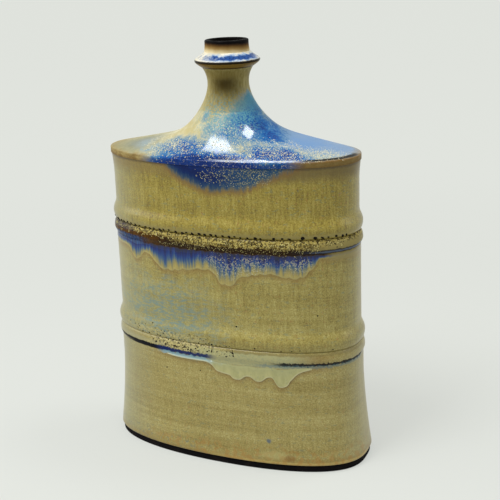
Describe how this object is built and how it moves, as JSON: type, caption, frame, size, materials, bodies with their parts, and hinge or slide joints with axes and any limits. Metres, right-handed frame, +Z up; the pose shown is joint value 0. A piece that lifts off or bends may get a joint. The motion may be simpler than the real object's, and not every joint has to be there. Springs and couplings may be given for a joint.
{
  "type": "bottle vase",
  "caption": "Flattened oval bottle vase of glazed stoneware, built from luted clay sections with beaded seams, a domed shoulder and a narrow collared neck.",
  "frame": {"origin": "centre of the foot's flat underside, on the table", "axes": "+X along the oval body's length, +Y to the back across its depth, +Z up through the neck; the glazed front faces -Y"},
  "size_m": [0.1876, 0.0862, 0.28],
  "materials": {
    "bare_clay": "unglazed dark iron-bearing stoneware, matt",
    "tan_glaze": "satin khaki-tan glaze with fine vertical streaks, blue-green flecks and iron specks",
    "blue_glaze": "glossy grey-blue to cream glaze pooling to cobalt at the front, with cream crystals",
    "cream_glaze": "glossy cream glaze breaking brown on the edges",
    "burnt_rim": "thin glaze burnt dark brown at the mouth",
    "cobalt_run": "thick glossy cobalt run streaking to grey-blue and cream",
    "pale_run": "thick glossy pale green-cream run"
  },
  "bodies": {
    "root": {"foot_slab": "bare_clay", "lower_wall": "tan_glaze", "middle_wall": "tan_glaze", "upper_wall": "tan_glaze", "shoulder": "blue_glaze", "neck": "tan_glaze", "collar": "cream_glaze", "lip": "burnt_rim", "glaze_run_upper": "cobalt_run", "glaze_run_lower": "pale_run"}
  },
  "joints": []
}
